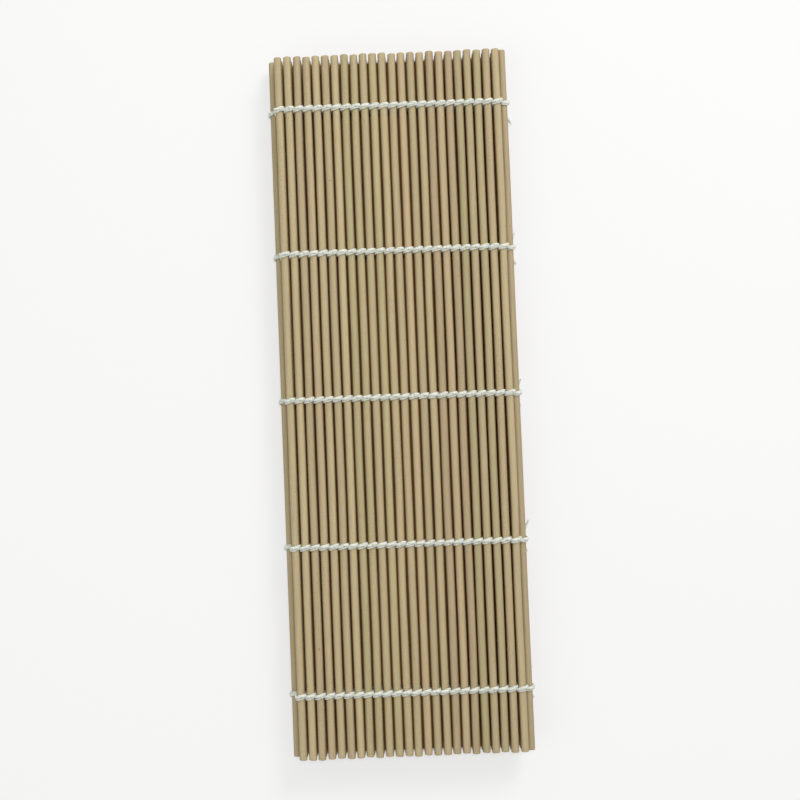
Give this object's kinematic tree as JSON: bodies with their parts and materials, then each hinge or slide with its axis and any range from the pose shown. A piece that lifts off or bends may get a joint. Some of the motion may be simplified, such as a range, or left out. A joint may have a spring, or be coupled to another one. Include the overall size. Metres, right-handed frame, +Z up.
{
  "type": "sushi rolling mat",
  "caption": "Bamboo rolling mat of round sticks held by rows of twined white cotton cord, folded flat in three, which opens out and rolls up.",
  "frame": {"origin": "centre of the folded mat's footprint, on the plane that it rests on", "axes": "+Y along the sticks, +X across the panels, +Z up through the three layers"},
  "size_m": [0.0838, 0.24, 0.0136],
  "materials": {
    "bamboo": "bare, sanded",
    "cotton": "twined yarn"
  },
  "bodies": {
    "lower_panel": {"lower_sticks_1": "bamboo", "lower_sticks_2": "bamboo", "lower_sticks_3": "bamboo", "lower_sticks_4": "bamboo", "lower_sticks_5": "bamboo", "lower_sticks_6": "bamboo", "lower_sticks_7": "bamboo", "lower_sticks_8": "bamboo", "lower_cord_row_1": "cotton", "lower_cord_row_2": "cotton", "lower_cord_row_3": "cotton", "lower_cord_row_4": "cotton", "lower_cord_row_5": "cotton", "end_knots": "cotton"},
    "left_fold": {"left_fold_stick": "bamboo", "left_fold_cords": "cotton"},
    "middle_edge": {"middle_edge_stick": "bamboo", "middle_edge_cords": "cotton"},
    "middle_panel": {"middle_sticks_1": "bamboo", "middle_sticks_2": "bamboo", "middle_sticks_3": "bamboo", "middle_sticks_4": "bamboo", "middle_sticks_5": "bamboo", "middle_sticks_6": "bamboo", "middle_sticks_7": "bamboo", "middle_sticks_8": "bamboo", "middle_cord_row_1": "cotton", "middle_cord_row_2": "cotton", "middle_cord_row_3": "cotton", "middle_cord_row_4": "cotton", "middle_cord_row_5": "cotton"},
    "right_fold": {"right_fold_stick": "bamboo", "right_fold_cords": "cotton"},
    "upper_edge": {"upper_edge_stick": "bamboo", "upper_edge_cords": "cotton"},
    "upper_panel_1": {"upper_sticks_1": "bamboo", "upper_cords_1": "cotton"},
    "upper_panel_2": {"upper_sticks_2": "bamboo", "upper_cords_2": "cotton"},
    "upper_panel_3": {"upper_sticks_3": "bamboo", "upper_cords_3": "cotton"},
    "upper_panel_4": {"upper_sticks_4": "bamboo", "upper_cords_4": "cotton"},
    "upper_panel_5": {"upper_sticks_5": "bamboo", "upper_cords_5": "cotton"},
    "upper_panel_6": {"upper_sticks_6": "bamboo", "upper_cords_6": "cotton"},
    "upper_panel_7": {"upper_sticks_7": "bamboo", "upper_cords_7": "cotton"},
    "upper_panel_8": {"upper_sticks_8": "bamboo", "upper_cords_8": "cotton", "start_loops": "cotton"}
  },
  "joints": [
    {"name": "left_fold_open", "type": "hinge", "parent": "lower_panel", "child": "left_fold", "pos_m": [-0.03737, 0, 0.0022], "axis": [0, -1, 0], "range_deg": [0, 45]},
    {"name": "left_fold_middle", "type": "hinge", "parent": "left_fold", "child": "middle_edge", "pos_m": [-0.03967, 0, 0.0045], "axis": [0, -1, 0], "range_deg": [0, 90]},
    {"name": "left_fold_last", "type": "hinge", "parent": "middle_edge", "child": "middle_panel", "pos_m": [-0.03737, 0, 0.0068], "axis": [0, -1, 0], "range_deg": [0, 45]},
    {"name": "right_fold_open", "type": "hinge", "parent": "middle_panel", "child": "right_fold", "pos_m": [0.03737, 0, 0.0068], "axis": [0, 1, 0], "range_deg": [0, 45]},
    {"name": "right_fold_middle", "type": "hinge", "parent": "right_fold", "child": "upper_edge", "pos_m": [0.03967, 0, 0.00909], "axis": [0, 1, 0], "range_deg": [0, 90]},
    {"name": "right_fold_last", "type": "hinge", "parent": "upper_edge", "child": "upper_panel_1", "pos_m": [0.03737, 0, 0.01139], "axis": [0, 1, 0], "range_deg": [0, 45]},
    {"name": "roll_1", "type": "hinge", "parent": "upper_panel_1", "child": "upper_panel_2", "pos_m": [0.02763, 0, 0.01139], "axis": [0, 1, 0], "range_deg": [0, 40]},
    {"name": "roll_2", "type": "hinge", "parent": "upper_panel_2", "child": "upper_panel_3", "pos_m": [0.01787, 0, 0.01139], "axis": [0, 1, 0], "range_deg": [0, 40]},
    {"name": "roll_3", "type": "hinge", "parent": "upper_panel_3", "child": "upper_panel_4", "pos_m": [0.00813, 0, 0.01139], "axis": [0, 1, 0], "range_deg": [0, 40]},
    {"name": "roll_4", "type": "hinge", "parent": "upper_panel_4", "child": "upper_panel_5", "pos_m": [-0.00162, 0, 0.01139], "axis": [0, 1, 0], "range_deg": [0, 40]},
    {"name": "roll_5", "type": "hinge", "parent": "upper_panel_5", "child": "upper_panel_6", "pos_m": [-0.01137, 0, 0.01139], "axis": [0, 1, 0], "range_deg": [0, 40]},
    {"name": "roll_6", "type": "hinge", "parent": "upper_panel_6", "child": "upper_panel_7", "pos_m": [-0.02113, 0, 0.01139], "axis": [0, 1, 0], "range_deg": [0, 40]},
    {"name": "roll_7", "type": "hinge", "parent": "upper_panel_7", "child": "upper_panel_8", "pos_m": [-0.03087, 0, 0.01139], "axis": [0, 1, 0], "range_deg": [0, 40]}
  ],
  "couplings": [
    {"joint": "left_fold_middle", "follows": "left_fold_open", "ratio": 2},
    {"joint": "left_fold_last", "follows": "left_fold_open", "ratio": 1},
    {"joint": "right_fold_middle", "follows": "right_fold_open", "ratio": 2},
    {"joint": "right_fold_last", "follows": "right_fold_open", "ratio": 1}
  ]
}
